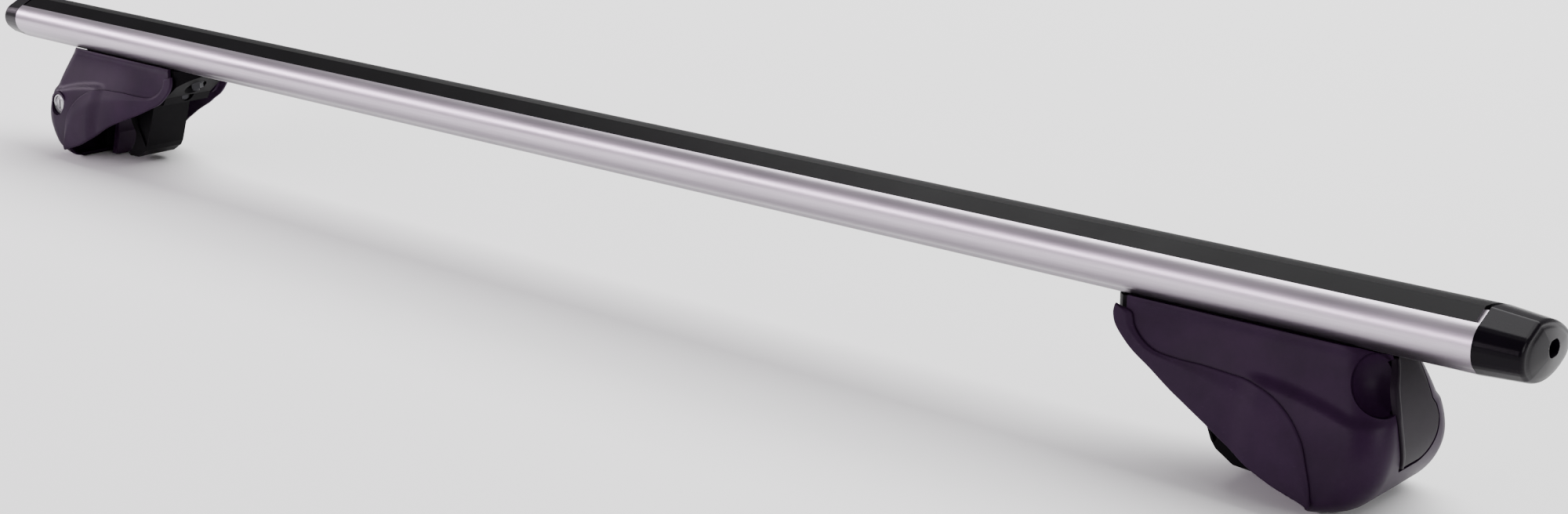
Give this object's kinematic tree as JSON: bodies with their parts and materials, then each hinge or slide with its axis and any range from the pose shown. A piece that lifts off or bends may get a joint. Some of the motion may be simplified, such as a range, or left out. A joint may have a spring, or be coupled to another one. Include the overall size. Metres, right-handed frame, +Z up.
{
  "type": "roof rack crossbar",
  "caption": "Aero aluminium crossbar with black end caps on lockable clamping feet for raised roof rails.",
  "frame": {"origin": "on the ground plane under the middle of the bounding box", "axes": "+X along the bar towards the end shown nearer, +Y across the bar towards the rear of the vehicle, +Z up"},
  "size_m": [1.251, 0.087, 0.1098],
  "materials": {
    "bar_aluminium": "satin anodised",
    "strip_rubber": "satin black",
    "cap_plastic": "satin black",
    "housing_plastic": "fine grain",
    "skirt_rubber": "matte",
    "lid_plastic": "fine grain",
    "carrier_plastic": "fine grain",
    "fin_rubber": "matte",
    "pad_rubber": "matte",
    "hook_steel": "black coated",
    "zinc_steel": "black zinc plated",
    "lock_chrome": "polished"
  },
  "bodies": {
    "bar": {"bar_profile": "bar_aluminium", "top_strip": "strip_rubber", "right_end_cap": "cap_plastic", "left_end_cap": "cap_plastic", "right_cap_screw": "zinc_steel", "left_cap_screw": "zinc_steel"},
    "right_foot": {"right_housing": "housing_plastic", "right_front_skirt": "skirt_rubber", "right_rear_skirt": "skirt_rubber", "right_saddle_pad": "pad_rubber", "right_carrier": "carrier_plastic", "right_outer_pad": "fin_rubber", "right_rail_pad": "pad_rubber", "right_thrust_washer": "zinc_steel", "right_tee_bolts": "zinc_steel", "right_tee_nuts": "zinc_steel"},
    "right_lid": {"right_access_lid": "lid_plastic", "right_lid_pins": "zinc_steel"},
    "right_lock": {"right_lock_cylinder": "lock_chrome", "right_lock_cam": "zinc_steel"},
    "right_jaw": {"right_jaw_hook": "hook_steel", "right_jaw_block": "carrier_plastic", "right_jaw_pad": "pad_rubber", "right_clamp_nut": "zinc_steel"},
    "right_clamp": {"right_clamp_bolt": "zinc_steel"},
    "left_foot": {"left_housing": "housing_plastic", "left_front_skirt": "skirt_rubber", "left_rear_skirt": "skirt_rubber", "left_saddle_pad": "pad_rubber", "left_carrier": "carrier_plastic", "left_outer_pad": "fin_rubber", "left_rail_pad": "pad_rubber", "left_thrust_washer": "zinc_steel", "left_tee_bolts": "zinc_steel", "left_tee_nuts": "zinc_steel"},
    "left_lid": {"left_access_lid": "lid_plastic", "left_lid_pins": "zinc_steel"},
    "left_lock": {"left_lock_cylinder": "lock_chrome", "left_lock_cam": "zinc_steel"},
    "left_jaw": {"left_jaw_hook": "hook_steel", "left_jaw_block": "carrier_plastic", "left_jaw_pad": "pad_rubber", "left_clamp_nut": "zinc_steel"},
    "left_clamp": {"left_clamp_bolt": "zinc_steel"}
  },
  "joints": [
    {"name": "right_foot_slide", "type": "slide", "parent": "bar", "child": "right_foot", "axis": [1, 0, 0], "range_m": [-0.06, 0.03]},
    {"name": "right_lid_slide", "type": "slide", "parent": "right_foot", "child": "right_lid", "axis": [1, 0, 0], "range_m": [0, 0.015]},
    {"name": "right_lock_turn", "type": "hinge", "parent": "right_foot", "child": "right_lock", "pos_m": [0.545, 0.03, 0.039], "axis": [0, 1, 0], "range_deg": [0, 90]},
    {"name": "right_jaw_slide", "type": "slide", "parent": "right_foot", "child": "right_jaw", "axis": [1, 0, 0], "range_m": [-0.0235, 0.006]},
    {"name": "right_clamp_turn", "type": "hinge", "parent": "right_foot", "child": "right_clamp", "pos_m": [0.489, 0, 0.057], "axis": [1, 0, 0], "range_deg": [-1729, 6769]},
    {"name": "left_foot_slide", "type": "slide", "parent": "bar", "child": "left_foot", "axis": [-1, 0, 0], "range_m": [-0.046, 0.044]},
    {"name": "left_lid_slide", "type": "slide", "parent": "left_foot", "child": "left_lid", "axis": [-1, 0, 0], "range_m": [0, 0.015]},
    {"name": "left_lock_turn", "type": "hinge", "parent": "left_foot", "child": "left_lock", "pos_m": [-0.531, -0.03, 0.039], "axis": [0, -1, 0], "range_deg": [0, 90]},
    {"name": "left_jaw_slide", "type": "slide", "parent": "left_foot", "child": "left_jaw", "axis": [-1, 0, 0], "range_m": [-0.0215, 0.008]},
    {"name": "left_clamp_turn", "type": "hinge", "parent": "left_foot", "child": "left_clamp", "pos_m": [-0.475, 0, 0.057], "axis": [-1, 0, 0], "range_deg": [-2305, 6193]}
  ],
  "couplings": [
    {"joint": "right_clamp_turn", "follows": "right_jaw_slide", "rad_per_m": -5026.5},
    {"joint": "left_clamp_turn", "follows": "left_jaw_slide", "rad_per_m": -5026.5}
  ]
}
